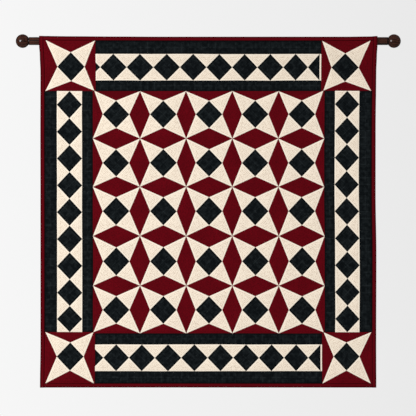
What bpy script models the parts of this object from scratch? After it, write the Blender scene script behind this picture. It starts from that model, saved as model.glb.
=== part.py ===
"""Quilted wall hanging on a round wooden rod, hung as it is on a wall.

The quilt is one sheet: pieced front, batting and back sewn together, with a rod pocket that is part of
its own cloth. Four binding strips are folded round its edges. A dowel runs through the pocket, and a turned
ball closes each end. Metres, +Z up, the front faces -Y, and the origin is the middle of the rod's axis.
"""

import math

import bmesh
import bpy
from mathutils import Vector

# The cloth, flat
QUILT_WIDTH = 1.0760
QUILT_HEIGHT = 1.1232
BINDING_WIDTH = 0.0132
# Widths of each side's border, from the binding in: dark strip, strip of diamonds, dark strip
BORDERS = {
    "left": (0.0398, 0.0806, 0.0345),
    "right": (0.0404, 0.0783, 0.0336),
    "top": (0.0422, 0.0842, 0.0340),
    "bottom": (0.0395, 0.0857, 0.0355),
}
# The field's blocks, and how far each column's and row's dark squares sit off the middle of their blocks
COLUMN_WIDTHS = (0.1508, 0.1479, 0.1479, 0.1482, 0.1476)
ROW_HEIGHTS = (0.1516, 0.1548, 0.1580, 0.1589, 0.1524)
SQUARES_ASIDE = (-0.0010, 0.0008, -0.0008, -0.0004, 0.0012)
SQUARES_DOWN = (-0.0016, 0.0007, -0.0008, 0.0014, 0.0012)
# Half the squares' width, and half their height row by row
SQUARE_REACH_ACROSS = 0.0425
SQUARE_REACH_DOWN = (0.0437, 0.0439, 0.0448, 0.0451, 0.0439)
# The dark square of each corner's star: across, down, and half its width and height
CORNER_SQUARES = {
    ("left", "top"): (-0.4396, 0.0964, 0.0431, 0.0452),
    ("right", "top"): (0.4377, 0.0979, 0.0431, 0.0446),
    ("left", "bottom"): (-0.4425, 1.0234, 0.0429, 0.0452),
    ("right", "bottom"): (0.4427, 1.0232, 0.0413, 0.0453),
}
# Lengths of the dark diamonds down the sides, and along the top and bottom from a first neck
SIDE_DIAMONDS = {
    "left": (0.0867, 0.0861, 0.0858, 0.0858, 0.0863, 0.0866, 0.0857, 0.0855, 0.0829),
    "right": (0.0855, 0.0855, 0.0857, 0.0858, 0.0861, 0.0865, 0.0866, 0.0860, 0.0848),
}
END_DIAMONDS = {
    "top": (0.0853, 0.0856, 0.0851, 0.0846, 0.0814, 0.0812, 0.0828, 0.0798),
    "bottom": (0.0825, 0.0828, 0.0840, 0.0849, 0.0828, 0.0817, 0.0804, 0.0783),
}
FIRST_NECK = {"top": -0.3466, "bottom": -0.3370}
# The narrow cream strip that fills the right end of those two strips
CREAM_SLIP = {"top": 0.0161, "bottom": 0.0129}

# Thickness and quilting
SEAM_HALF_THICKNESS = 0.0012
PUFF_WIDTH = 0.0045
PUFF_HEIGHT = 0.0011
BACK_SHARE = 0.85
CLEARANCE = 0.0003
BINDING_PLY = 0.0012
CLOTH_INSET = 0.0032
# Half of the binding's fold: distance in from the edge, then share of its half thickness
BINDING_FOLD = ((BINDING_WIDTH, 1.0), (0.0024, 1.0), (0.0007, 0.62), (0.0, 0.0))

# The rod, its balls and the pocket
ROD_RADIUS = 0.0127
ROD_HALF_LENGTH = 0.5754
ROD_END_BEVEL = 0.0012
ROD_SIDES = 32
ROD_BEVEL_STEPS = 2
BALL_RADIUS = 0.0219
BALL_CENTRE = 0.5948
NECK_RADIUS = 0.0112
BALL_STEPS = 24
BALL_PROFILE_STEPS = 12
POCKET_PLY = 0.0009
POCKET_END_MARGIN = 0.030
POCKET_ARC_STEPS = 12
POCKET_TOP_SEAM = -0.0049
POCKET_LOW_SEAM = -0.0654
# Drop below the rod's axis, then how far in from the rod's back the pocket hangs
POCKET_BACK = ((0.008, 0.0002), (0.022, 0.0016), (0.038, 0.0056), (0.054, 0.0122))

# How the cloth hangs
SHEET_ASIDE = 0.0004
TOP_LINE = 0.0131
FRONT_OF_ROD = -0.0172
HANG_PLANE = 0.0
FALL_START = 0.026
FALL_END = 0.140
# Gentle waves below the rod: depth, then turns a metre across and down, and start
WAVES = ((0.0014, 5.1, 1.7, 0.6), (0.0008, 9.3, -3.1, 0.0))
STILL_ABOVE = 0.12
LOOSE_BELOW = 0.37
# Distance below the top edge, then how far the left and the right side stand out from straight there
EDGE_DRIFT = (
    (0.110, 0.0002, -0.0002),
    (0.300, 0.0006, -0.0022),
    (0.500, 0.0002, -0.0024),
    (0.700, 0.0000, 0.0002),
    (0.980, 0.0000, -0.0004),
    (1.125, 0.0018, 0.0000),
)
# The same for how far the top corners reach out beside the rod, which fades within the flare's depth
CORNER_FLARE = (
    (0.000, 0.0036, 0.0030),
    (0.030, 0.0034, 0.0030),
    (0.060, 0.0014, 0.0012),
    (0.110, 0.0000, 0.0000),
)
FLARE_DEPTH = 0.150
# Place across the cloth, then how far the top edge stands above its middle there
TOP_RISE_DEPTH = 0.173
TOP_RISE = (
    (-0.540, 0.0026),
    (-0.440, 0.0014),
    (-0.300, 0.0006),
    (-0.150, 0.0000),
    (0.440, 0.0000),
    (0.510, 0.0008),
    (0.540, 0.0020),
)

# Heights at which the sheet is cut so that it can bend, and the step of cuts and stations elsewhere
BEND_CUTS = (0.030, 0.046, 0.066, 0.092, 0.118, 0.140)
STATION_STEP = 0.078
LONG_FACE = 0.150
WHOLE_HALF = 0.85
CUT_SNAP = 0.0008


def stations_between(start, stop, extra=()):
    """Places along an edge a station step apart, with any extra places between."""
    count = math.ceil((stop - start) / STATION_STEP)
    even = [start + (stop - start) * k / count for k in range(count + 1)]
    near = STATION_STEP / 4
    kept = [p for p in even[1:-1] if all(abs(p - e) > near for e in extra)]
    return sorted([start, stop] + kept + [e for e in extra if start + near / 4 < e < stop - near / 4])


def border_lines(edge, way, widths):
    """Places of a border's seams, from the binding in to the field."""
    places = [edge + way * BINDING_WIDTH]
    for width in widths:
        places.append(places[-1] + way * width)
    return places


HALF_WIDTH = QUILT_WIDTH / 2
LINES = {
    "left": border_lines(-HALF_WIDTH, 1, BORDERS["left"]),
    "right": border_lines(HALF_WIDTH, -1, BORDERS["right"]),
    "top": border_lines(0.0, 1, BORDERS["top"]),
    "bottom": border_lines(QUILT_HEIGHT, -1, BORDERS["bottom"]),
}
UPRIGHT_STATIONS = stations_between(0.0, QUILT_HEIGHT, BEND_CUTS)
BINDING_END = HALF_WIDTH - BINDING_WIDTH - CLEARANCE
LEVEL_STATIONS = stations_between(-BINDING_END, BINDING_END)


def clear_scene():
    for found in list(bpy.data.objects):
        bpy.data.objects.remove(found, do_unlink=True)


def material(name, colour, roughness):
    made = bpy.data.materials.new(name)
    made.use_nodes = True
    shader = made.node_tree.nodes["Principled BSDF"]
    shader.inputs["Base Color"].default_value = (*colour, 1.0)
    shader.inputs["Roughness"].default_value = roughness
    shader.inputs["Metallic"].default_value = 0.0
    made.diffuse_color = (*colour, 1.0)
    return made


def collection(name):
    made = bpy.data.collections.new(name)
    bpy.context.scene.collection.children.link(made)
    return made


def add_object(name, mesh, group, *materials):
    made = bpy.data.objects.new(name, mesh)
    group.objects.link(made)
    for one in materials:
        mesh.materials.append(one)
    return made


def smoothstep(low, high, value):
    share = min(1.0, max(0.0, (value - low) / (high - low)))
    return share * share * (3.0 - 2.0 * share)


def between(rows, place, column):
    """The value of a table's column at a place between its rows, eased from row to row."""
    if place <= rows[0][0]:
        return rows[0][column]
    for before, after in zip(rows, rows[1:]):
        if place <= after[0]:
            share = smoothstep(before[0], after[0], place)
            return before[column] + share * (after[column] - before[column])
    return rows[-1][column]


def middle_plane(down):
    """Y of the cloth's middle layer: in front of the rod at the top, under it further down."""
    return FRONT_OF_ROD + (HANG_PLANE - FRONT_OF_ROD) * smoothstep(FALL_START, FALL_END, down)


def hung(across, through, down):
    """The place of a point of the flat cloth once it hangs. Through is positive to the front."""
    left = between(EDGE_DRIFT, down, 1)
    right = between(EDGE_DRIFT, down, 2)
    share = across / HALF_WIDTH
    x = across + (right * (1 + share) - left * (1 - share)) * abs(share) / 2
    flare = between(CORNER_FLARE, down, 2) if share > 0 else -between(CORNER_FLARE, down, 1)
    x += SHEET_ASIDE + flare * (1 - smoothstep(0.0, FLARE_DEPTH, HALF_WIDTH - abs(across)))
    loose = smoothstep(STILL_ABOVE, LOOSE_BELOW, down)
    sway = sum(deep * math.sin(a * across + b * down + start) for deep, a, b, start in WAVES)
    y = middle_plane(down) + loose * sway
    rise = between(TOP_RISE, across, 1) * (1 - smoothstep(0.0, TOP_RISE_DEPTH, down))
    return Vector((x, y - through, TOP_LINE - down + rise))


def hang_mesh(mesh):
    """Moves a mesh made flat, with X across, -Y to the front and -Z down, to where it hangs."""
    for vertex in mesh.vertices:
        vertex.co = hung(vertex.co.x, -vertex.co.y, -vertex.co.z)
    mesh.update()


def shared_out(start, stop, shares):
    """Places from start to stop, a step for each share."""
    places = [start]
    for share in shares:
        places.append(places[-1] + (stop - start) * share / sum(shares))
    return places


def star_patches(columns, rows, squares):
    """Four-pointed stars in a grid: a dark square on its corner, four cream points, red diamonds between.

    A square is given by column and row, as its middle and half its width and height."""
    patches = []
    for (i, j), (x, d, wide, tall) in squares.items():
        top, right = (x, d - tall), (x + wide, d)
        bottom, left = (x, d + tall), (x - wide, d)
        patches.append(("dark", [top, right, bottom, left]))
        patches.append(("cream", [(columns[i], rows[j]), top, left]))
        patches.append(("cream", [(columns[i + 1], rows[j]), right, top]))
        patches.append(("cream", [(columns[i + 1], rows[j + 1]), bottom, right]))
        patches.append(("cream", [(columns[i], rows[j + 1]), left, bottom]))
    for i in range(len(columns) - 1):
        for j, d in enumerate(rows):
            diamond = [(columns[i], d)]
            if j > 0:
                above = squares[i, j - 1]
                diamond.append((above[0], above[1] + above[3]))
            diamond.append((columns[i + 1], d))
            if j < len(rows) - 1:
                below = squares[i, j]
                diamond.append((below[0], below[1] - below[3]))
            patches.append(("red", diamond))
    for j in range(len(rows) - 1):
        for i, x in enumerate(columns):
            diamond = [(x, rows[j])]
            if i < len(columns) - 1:
                after = squares[i, j]
                diamond.append((after[0] - after[2], after[1]))
            diamond.append((x, rows[j + 1]))
            if i > 0:
                before = squares[i - 1, j]
                diamond.append((before[0] + before[2], before[1]))
            patches.append(("red", diamond))
    return patches


def field_patches():
    columns = shared_out(LINES["left"][-1], LINES["right"][-1], COLUMN_WIDTHS)
    rows = shared_out(LINES["top"][-1], LINES["bottom"][-1], ROW_HEIGHTS)
    squares = {}
    for i, aside in enumerate(SQUARES_ASIDE):
        for j, below in enumerate(SQUARES_DOWN):
            middle = (columns[i] + columns[i + 1]) / 2 + aside, (rows[j] + rows[j + 1]) / 2 + below
            squares[i, j] = (*middle, SQUARE_REACH_ACROSS, SQUARE_REACH_DOWN[j])
    return star_patches(columns, rows, squares)


def corner_patches(side, end):
    """The single star of a corner, its points in the corners of its block."""
    columns = sorted((LINES[side][0], LINES[side][-1]))
    rows = sorted((LINES[end][0], LINES[end][-1]))
    return star_patches(columns, rows, {(0, 0): CORNER_SQUARES[side, end]})


def diamond_run(low, high, necks):
    """Dark diamonds in a row from neck to neck, with cream triangles between. Along runs first."""
    patches = []
    middle = (low + high) / 2
    centres = [(a + b) / 2 for a, b in zip(necks, necks[1:])]
    for start, centre, stop in zip(necks, centres, necks[1:]):
        patches.append(("dark", [(start, middle), (centre, low), (stop, middle), (centre, high)]))
    for before, neck, after in zip(centres, necks[1:], centres[1:]):
        for side in (low, high):
            patches.append(("cream", [(before, side), (neck, middle), (after, side)]))
    return patches


def side_border(side):
    """The upright border: two dark strips and whole diamonds from end to end between them."""
    start, stop = LINES["top"][-1], LINES["bottom"][-1]
    lines = LINES[side]
    low, high = sorted(lines[1:3])
    necks = shared_out(start, stop, SIDE_DIAMONDS[side])
    along = diamond_run(low, high, necks)
    middle = (low + high) / 2
    for end, centre in ((start, (start + necks[1]) / 2), (stop, (necks[-2] + stop) / 2)):
        for edge in (low, high):
            along.append(("cream", [(end, edge), (end, middle), (centre, edge)]))
    patches = [(cloth, [(x, d) for d, x in outline]) for cloth, outline in along]
    for strip in (lines[0:2], lines[2:4]):
        patches.append(box_patch("dark", *sorted(strip), start, stop))
    return patches


def end_border(end):
    """The level border: two dark strips, and diamonds between them with part of one cut off at each end."""
    start, stop = LINES["left"][-1], LINES["right"][-1]
    lines = LINES[end]
    low, high = sorted(lines[1:3])
    necks = [FIRST_NECK[end]]
    for length in END_DIAMONDS[end]:
        necks.append(necks[-1] + length)
    patches = diamond_run(low, high, necks)
    middle = (low + high) / 2
    slip = stop - CREAM_SLIP[end]
    first_half, last_half = (necks[1] - necks[0]) / 2, (necks[-1] - necks[-2]) / 2
    for outer, neck, half in ((start, necks[0], first_half), (slip, necks[-1], -last_half)):
        share = (neck - outer) / half
        rise = min(share, 1.0) * (high - low) / 2
        whole = share > WHOLE_HALF
        for edge, sign in ((low, -1), (high, 1)):
            cut = (outer, edge) if whole else (outer, middle + sign * rise)
            outline = [(neck + half, edge), (neck, middle), cut]
            patches.append(("cream", outline if whole else outline + [(outer, edge)]))
        tip = (high - low) / 2 if whole else rise
        patches.append(("dark", [(outer, middle - tip), (neck, middle), (outer, middle + tip)]))
    patches.append(box_patch("slip", slip, stop, low, high))
    for strip in (lines[0:2], lines[2:4]):
        patches.append(box_patch("dark", start, stop, *sorted(strip)))
    return patches


def box_patch(cloth, x0, x1, d0, d1):
    return (cloth, [(x0, d0), (x1, d0), (x1, d1), (x0, d1)])


def quilt_patches():
    """Every patch as its cloth and its outline in flat places, X across and D down from the top edge."""
    patches = field_patches()
    for side in ("left", "right"):
        patches += side_border(side)
        for end in ("top", "bottom"):
            patches += corner_patches(side, end)
    for end in ("top", "bottom"):
        patches += end_border(end)
    return patches


def seam_allowance():
    """The flat rim of the cloth that lies inside the binding, as four mitred pieces."""
    out_x, in_x = HALF_WIDTH - CLOTH_INSET, HALF_WIDTH - BINDING_WIDTH
    out_top, in_top = CLOTH_INSET, BINDING_WIDTH
    out_low, in_low = QUILT_HEIGHT - CLOTH_INSET, QUILT_HEIGHT - BINDING_WIDTH
    outer = [(-out_x, out_top), (out_x, out_top), (out_x, out_low), (-out_x, out_low)]
    inner = [(-in_x, in_top), (in_x, in_top), (in_x, in_low), (-in_x, in_low)]
    turned = outer[1:] + outer[:1], inner[1:] + inner[:1]
    return [("rim", [a, b, c, d]) for a, b, c, d in zip(outer, turned[0], turned[1], inner)]


def key(place):
    return (round(place[0], 6), round(place[1], 6))


def with_neighbours_corners(outlines):
    """Each outline with its neighbours' corners that lie on its sides, so that the patches share them."""
    corners = sorted({key(p) for outline in outlines for p in outline})
    full = []
    for outline in outlines:
        walked = []
        for start, stop in zip(outline, outline[1:] + outline[:1]):
            a, b = Vector(start), Vector(stop)
            line = b - a
            low = (min(a.x, b.x) - 1e-6, min(a.y, b.y) - 1e-6)
            high = (max(a.x, b.x) + 1e-6, max(a.y, b.y) + 1e-6)
            walked.append((0.0, key(start)))
            on_side = []
            for corner in corners:
                if not (low[0] <= corner[0] <= high[0] and low[1] <= corner[1] <= high[1]):
                    continue
                share = (Vector(corner) - a).dot(line) / line.length_squared
                off = (Vector(corner) - a - share * line).length
                if off < 2e-6 and 1e-4 < share * line.length < line.length - 1e-4:
                    on_side.append((share, corner))
            walked += sorted(on_side)
        full.append([place for _, place in walked])
    return full


def flat_sheet(patches):
    """A bmesh of the patches laid flat, in X and -Z, facing -Y, and the patch faces that puff up."""
    made = bmesh.new()
    outlines = with_neighbours_corners([outline for _, outline in patches])
    cloths = {"cream": 0, "red": 1, "dark": 2, "slip": 0, "rim": 1}
    points = {}
    puffed = []
    for (cloth, _), outline in zip(patches, outlines):
        area = sum(a[0] * b[1] - b[0] * a[1] for a, b in zip(outline, outline[1:] + outline[:1]))
        if area > 0:
            outline = outline[::-1]
        corners = []
        for place in outline:
            if place not in points:
                points[place] = made.verts.new((place[0], -SEAM_HALF_THICKNESS, -place[1]))
            corners.append(points[place])
        face = made.faces.new(corners)
        face.material_index = cloths[cloth]
        if cloth in ("cream", "red", "dark"):
            puffed.append(face)
    made.normal_update()
    return made, puffed


def cut_across(made, faces, axis, place):
    """Cuts the faces given by a plane, level for Z and upright for X, so that the cloth can bend there."""
    edges = {edge for face in faces for edge in face.edges}
    points = {point for face in faces for point in face.verts}
    way = Vector((1, 0, 0)) if axis == 0 else Vector((0, 0, 1))
    bmesh.ops.bisect_plane(
        made, geom=[*points, *edges, *faces], dist=CUT_SNAP, plane_co=way * place, plane_no=way
    )


def long_faces(made, axis):
    """The faces of the border strips and the rim, which run far along X or Z."""
    found = []
    for face in made.faces:
        places = [point.co[axis] for point in face.verts]
        if max(places) - min(places) > LONG_FACE:
            found.append(face)
    return found


def quilt_sheet():
    """The quilted sheet, flat: puffed patches in front, the same behind, and a rim that joins them."""
    made, puffed = flat_sheet(quilt_patches() + seam_allowance())
    bmesh.ops.inset_individual(
        made, faces=puffed, thickness=PUFF_WIDTH, depth=PUFF_HEIGHT, use_even_offset=True
    )
    for cut in BEND_CUTS:
        cut_across(made, made.faces[:], 2, -cut)
    for down in UPRIGHT_STATIONS[1:-1]:
        if down not in BEND_CUTS:
            cut_across(made, long_faces(made, 2), 2, -down)
    for across in LEVEL_STATIONS[1:-1]:
        cut_across(made, long_faces(made, 0), 0, across)
    bmesh.ops.triangulate(made, faces=made.faces[:], quad_method="BEAUTY", ngon_method="BEAUTY")
    copied = bmesh.ops.duplicate(made, geom=made.verts[:] + made.edges[:] + made.faces[:])["geom"]
    back_points = [g for g in copied if isinstance(g, bmesh.types.BMVert)]
    back_faces = [g for g in copied if isinstance(g, bmesh.types.BMFace)]
    bmesh.ops.scale(made, vec=(1.0, -BACK_SHARE, 1.0), verts=back_points)
    bmesh.ops.reverse_faces(made, faces=back_faces)
    rims = [edge for edge in made.edges if edge.is_boundary]
    bmesh.ops.bridge_loops(made, edges=rims)
    bmesh.ops.triangulate(made, faces=[f for f in made.faces if len(f.verts) > 3])
    bmesh.ops.recalc_face_normals(made, faces=made.faces[:])
    mesh = bpy.data.meshes.new("quilt")
    made.to_mesh(mesh)
    made.free()
    return mesh


def pocket_path():
    """The rod pocket's path in Y and Z: out of the sheet, over the rod, and back down to its lower seam."""
    radius = ROD_RADIUS + CLEARANCE + POCKET_PLY / 2
    sunk = SEAM_HALF_THICKNESS / 3
    path = [(middle_plane(TOP_LINE - POCKET_TOP_SEAM) + sunk, POCKET_TOP_SEAM)]
    turns = [math.pi * (1 - k / POCKET_ARC_STEPS) for k in range(POCKET_ARC_STEPS + 1)]
    path += [(radius * math.cos(turn), radius * math.sin(turn)) for turn in turns]
    path += [(radius - inward, -drop) for drop, inward in POCKET_BACK]
    path.append((middle_plane(TOP_LINE - POCKET_LOW_SEAM) + sunk, POCKET_LOW_SEAM))
    return path


def pocket_cloth(group):
    """The pocket's cloth as a sheet drawn out along the rod, to be joined to the quilt."""
    made = bmesh.new()
    reach = HALF_WIDTH - POCKET_END_MARGIN
    left = [made.verts.new((-reach, y, z)) for y, z in pocket_path()]
    edges = [made.edges.new(pair) for pair in zip(left, left[1:])]
    drawn = bmesh.ops.extrude_edge_only(made, edges=edges)["geom"]
    points = [g for g in drawn if isinstance(g, bmesh.types.BMVert)]
    bmesh.ops.translate(made, vec=(2 * reach, 0.0, 0.0), verts=points)
    bmesh.ops.recalc_face_normals(made, faces=made.faces[:])
    mesh = bpy.data.meshes.new("pocket_cloth")
    made.to_mesh(mesh)
    made.free()
    cloth = bpy.data.objects.new("pocket_cloth", mesh)
    group.objects.link(cloth)
    cloth.hide_render = True
    cloth.display_type = "WIRE"
    ply = cloth.modifiers.new("ply", "SOLIDIFY")
    ply.thickness = POCKET_PLY
    ply.offset = 0.0
    return cloth


def add_quilt(group, helpers, cloths):
    mesh = quilt_sheet()
    hang_mesh(mesh)
    quilt = add_object("quilt", mesh, group, *cloths)
    union = quilt.modifiers.new("rod pocket", "BOOLEAN")
    union.operation = "UNION"
    union.solver = "EXACT"
    union.object = pocket_cloth(helpers)
    split = quilt.modifiers.new("even triangles", "TRIANGULATE")
    split.ngon_method = "BEAUTY"
    return quilt


def binding_section():
    """The fold of a binding strip, front lip to back lip, as inset from the edge and place through."""
    half = SEAM_HALF_THICKNESS + CLEARANCE + BINDING_PLY
    front = [(inset, share * half) for inset, share in BINDING_FOLD]
    return front + [(inset, -through) for inset, through in front[-2::-1]]


def add_binding(name, group, cloth, stations, place, closed_ends):
    """One binding strip: its fold carried along the cloth's edge, and given a ply's thickness inwards."""
    made = bmesh.new()
    rows = []
    for station in stations:
        rows.append([made.verts.new(hung(*place(station, *spot))) for spot in binding_section()])
    for before, after in zip(rows, rows[1:]):
        for a, b, c, d in zip(before, before[1:], after[1:], after):
            made.faces.new((a, b, c, d))
    if closed_ends:
        made.faces.new(rows[0])
        made.faces.new(rows[-1])
    bmesh.ops.recalc_face_normals(made, faces=made.faces[:])
    made.faces.ensure_lookup_table()
    if made.faces[0].normal.y > 0:
        bmesh.ops.reverse_faces(made, faces=made.faces[:])
    mesh = bpy.data.meshes.new(name)
    made.to_mesh(mesh)
    made.free()
    strip = add_object(name, mesh, group, cloth)
    ply = strip.modifiers.new("ply", "SOLIDIFY")
    ply.thickness = BINDING_PLY
    ply.offset = -1.0
    ply.use_even_offset = True
    return strip


def add_bindings(group, cloth):
    for name, sign in (("binding_left", -1), ("binding_right", 1)):
        add_binding(
            name, group, cloth, UPRIGHT_STATIONS,
            lambda down, inset, through, sign=sign: (sign * (HALF_WIDTH - inset), through, down),
            closed_ends=True,
        )
    for name, edge, way in (("binding_top", 0.0, 1), ("binding_bottom", QUILT_HEIGHT, -1)):
        add_binding(
            name, group, cloth, LEVEL_STATIONS,
            lambda across, inset, through, edge=edge, way=way: (across, through, edge + way * inset),
            closed_ends=False,
        )


def add_rod(group, wood):
    made = bmesh.new()
    bmesh.ops.create_cone(
        made, cap_ends=True, segments=ROD_SIDES,
        radius1=ROD_RADIUS, radius2=ROD_RADIUS, depth=2 * ROD_HALF_LENGTH,
    )
    mesh = bpy.data.meshes.new("rod")
    made.to_mesh(mesh)
    made.free()
    rod = add_object("rod", mesh, group, wood)
    rod.rotation_euler = (0.0, math.radians(90), 0.0)
    mesh.shade_smooth()
    mesh.set_sharp_from_angle(angle=math.radians(40))
    rim = rod.modifiers.new("eased ends", "BEVEL")
    rim.width = ROD_END_BEVEL
    rim.segments = ROD_BEVEL_STEPS
    rim.limit_method = "ANGLE"
    rim.angle_limit = math.radians(60)
    return rod


def ball_profile():
    """The finial's outer side from its pole to the neck's face, as radius and height up its axis."""
    reach = BALL_CENTRE - ROD_HALF_LENGTH - CLEARANCE
    stop = math.asin(NECK_RADIUS / BALL_RADIUS)
    turns = [(math.pi - stop) * k / BALL_PROFILE_STEPS for k in range(BALL_PROFILE_STEPS + 1)]
    profile = [(BALL_RADIUS * math.sin(a), BALL_RADIUS * math.cos(a)) for a in turns]
    return profile + [(NECK_RADIUS, -reach), (0.0, -reach)]


def add_ball(name, group, wood, side):
    mesh = bpy.data.meshes.new(name)
    points = [(radius, 0.0, height) for radius, height in ball_profile()]
    mesh.from_pydata(points, [(k, k + 1) for k in range(len(points) - 1)], [])
    ball = add_object(name, mesh, group, wood)
    ball.location = (side * BALL_CENTRE, 0.0, 0.0)
    ball.rotation_euler = (0.0, side * math.radians(90), 0.0)
    turned = ball.modifiers.new("turned", "SCREW")
    turned.axis = "Z"
    turned.steps = BALL_STEPS
    turned.render_steps = BALL_STEPS
    turned.use_merge_vertices = True
    turned.merge_threshold = 0.00001
    turned.use_smooth_shade = True
    return ball


def main():
    clear_scene()
    group = collection("quilted wall hanging")
    helpers = collection("helpers")
    cream = material("cream cotton", (0.87, 0.78, 0.64), 0.9)
    red = material("deep red cotton", (0.13, 0.004, 0.010), 0.9)
    dark = material("checked dark cotton", (0.008, 0.013, 0.014), 0.9)
    wood = material("dark stained wood", (0.045, 0.018, 0.010), 0.35)
    add_quilt(group, helpers, (cream, red, dark))
    add_bindings(group, red)
    add_rod(group, wood)
    for name, side in (("finial_left", -1), ("finial_right", 1)):
        add_ball(name, group, wood, side)


main()
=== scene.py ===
"""Looks of the quilted wall hanging: pieced and quilted cotton, its binding, its rod pocket and the rod.

The sheet is laid out flat, in metres across from its middle and down from its top edge, and hung afterwards.
"""

import math
from collections import namedtuple

import bmesh
import bpy
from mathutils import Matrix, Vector, noise


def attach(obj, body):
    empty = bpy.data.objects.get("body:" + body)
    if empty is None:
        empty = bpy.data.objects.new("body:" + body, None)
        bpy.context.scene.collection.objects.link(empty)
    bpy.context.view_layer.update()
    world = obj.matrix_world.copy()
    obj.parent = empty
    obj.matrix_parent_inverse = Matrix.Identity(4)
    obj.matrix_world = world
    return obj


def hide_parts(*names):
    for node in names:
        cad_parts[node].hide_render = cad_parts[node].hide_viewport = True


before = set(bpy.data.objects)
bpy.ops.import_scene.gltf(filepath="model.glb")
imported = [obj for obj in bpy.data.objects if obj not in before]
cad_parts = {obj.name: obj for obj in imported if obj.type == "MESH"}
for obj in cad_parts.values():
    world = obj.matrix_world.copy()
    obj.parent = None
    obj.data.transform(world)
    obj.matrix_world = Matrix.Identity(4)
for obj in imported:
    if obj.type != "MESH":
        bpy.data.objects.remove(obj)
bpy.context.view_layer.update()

# The flat cloth, as it was sewn
QUILT_WIDTH = 1.0760
QUILT_HEIGHT = 1.1232
BINDING_WIDTH = 0.0132
# Widths of each side's border, from the binding in: dark strip, strip of diamonds, dark strip
BORDERS = {
    "left": (0.0398, 0.0806, 0.0345),
    "right": (0.0404, 0.0783, 0.0336),
    "top": (0.0422, 0.0842, 0.0340),
    "bottom": (0.0395, 0.0857, 0.0355),
}
# The field's blocks, and how far each column's and row's dark squares sit off the middle of their blocks
COLUMN_WIDTHS = (0.1508, 0.1479, 0.1479, 0.1482, 0.1476)
ROW_HEIGHTS = (0.1516, 0.1548, 0.1580, 0.1589, 0.1524)
SQUARES_ASIDE = (-0.0010, 0.0008, -0.0008, -0.0004, 0.0012)
SQUARES_DOWN = (-0.0016, 0.0007, -0.0008, 0.0014, 0.0012)
# Half the squares' width, and half their height row by row
SQUARE_REACH_ACROSS = 0.0425
SQUARE_REACH_DOWN = (0.0437, 0.0439, 0.0448, 0.0451, 0.0439)
# Lengths of the dark diamonds down the sides, and along the top and bottom from a first neck
SIDE_DIAMONDS = {
    "left": (0.0867, 0.0861, 0.0858, 0.0858, 0.0863, 0.0866, 0.0857, 0.0855, 0.0829),
    "right": (0.0855, 0.0855, 0.0857, 0.0858, 0.0861, 0.0865, 0.0866, 0.0860, 0.0848),
}
END_DIAMONDS = {
    "top": (0.0853, 0.0856, 0.0851, 0.0846, 0.0814, 0.0812, 0.0828, 0.0798),
    "bottom": (0.0825, 0.0828, 0.0840, 0.0849, 0.0828, 0.0817, 0.0804, 0.0783),
}
FIRST_NECK = {"top": -0.3466, "bottom": -0.3370}
CREAM_SLIP = {"top": 0.0054, "bottom": 0.0048}
# Half a diamond with more than this share of its length left is drawn to its full width
WHOLE_HALF = 0.85

# A corner's star: the level strip's end across, the upright strip's end down, its three outer points across,
# where it meets the field's star, and the middle and half the size of its dark square
Corner = namedtuple("Corner", "strip_end side_end outer_tip inner_tip side_tip meeting square reach")
CORNERS = {
    ("left", "top"): Corner(
        -0.3611, 0.1735, -0.5168, -0.3622, -0.5221, (-0.3652, 0.1723), (-0.4396, 0.0964), (0.0431, 0.0452)),
    ("right", "top"): Corner(
        0.3618, 0.1727, 0.5157, 0.3637, 0.5220, (0.3689, 0.1724), (0.4377, 0.0979), (0.0431, 0.0446)),
    ("left", "bottom"): Corner(
        -0.3631, 0.9449, -0.5209, -0.3652, -0.5224, (-0.3681, 0.9452), (-0.4425, 1.0234), (0.0429, 0.0452)),
    ("right", "bottom"): Corner(
        0.3644, 0.9452, 0.5198, 0.3654, 0.5220, (0.3695, 0.9459), (0.4427, 1.0232), (0.0413, 0.0453)),
}

# Thickness, puff and seams
SEAM_HALF_THICKNESS = 0.0012
PUFF_HEIGHT = 0.0014
PUFF_REACH = 0.0042
BACK_SHARE = 0.75
CLEARANCE = 0.0003
BINDING_PLY = 0.0012
CLOTH_INSET = 0.0032
# Cells across and down that the sheet is cut into: each back cell is three front cells wide
FRONT_CELLS = (216, 225)
BACK_CELLS = (72, 75)
CUT_SNAP = 0.0004
UNEVEN_PUFF = 0.30
UNEVEN_SCALE = 21.0
WANDER = 0.0009
WANDER_SCALE = 9.0
WANDER_FREE = 4 * BINDING_WIDTH
# Where the drift's noise is read, and how far from there for the drift down
WANDER_SLICE = 0.4
WANDER_DOWN = Vector((7.3, 1.9, 4.1))

# How the cloth hangs, as its solid does
SHEET_ASIDE = 0.0004
TOP_LINE = 0.0131
FRONT_OF_ROD = -0.0172
HANG_PLANE = 0.0
FALL_START = 0.026
FALL_END = 0.140
WAVES = ((0.0014, 5.1, 1.7, 0.6), (0.0008, 9.3, -3.1, 0.0))
STILL_ABOVE = 0.12
LOOSE_BELOW = 0.37
# How far out the sides hang from straight, by place down: left, right
EDGE_DRIFT = (
    (0.110, 0.0002, -0.0002),
    (0.300, 0.0006, -0.0022),
    (0.500, 0.0002, -0.0024),
    (0.700, 0.0000, 0.0002),
    (0.980, 0.0000, -0.0004),
    (1.125, 0.0018, 0.0000),
)
# How far the top corners reach out beside the rod, near the edges alone
CORNER_FLARE = (
    (0.000, 0.0036, 0.0030),
    (0.030, 0.0034, 0.0030),
    (0.060, 0.0014, 0.0012),
    (0.110, 0.0000, 0.0000),
)
FLARE_DEPTH = 0.150
TOP_RISE_DEPTH = 0.173
TOP_RISE = (
    (-0.540, 0.0026),
    (-0.440, 0.0014),
    (-0.300, 0.0006),
    (-0.150, 0.0000),
    (0.440, 0.0000),
    (0.510, 0.0008),
    (0.540, 0.0020),
)

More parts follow.
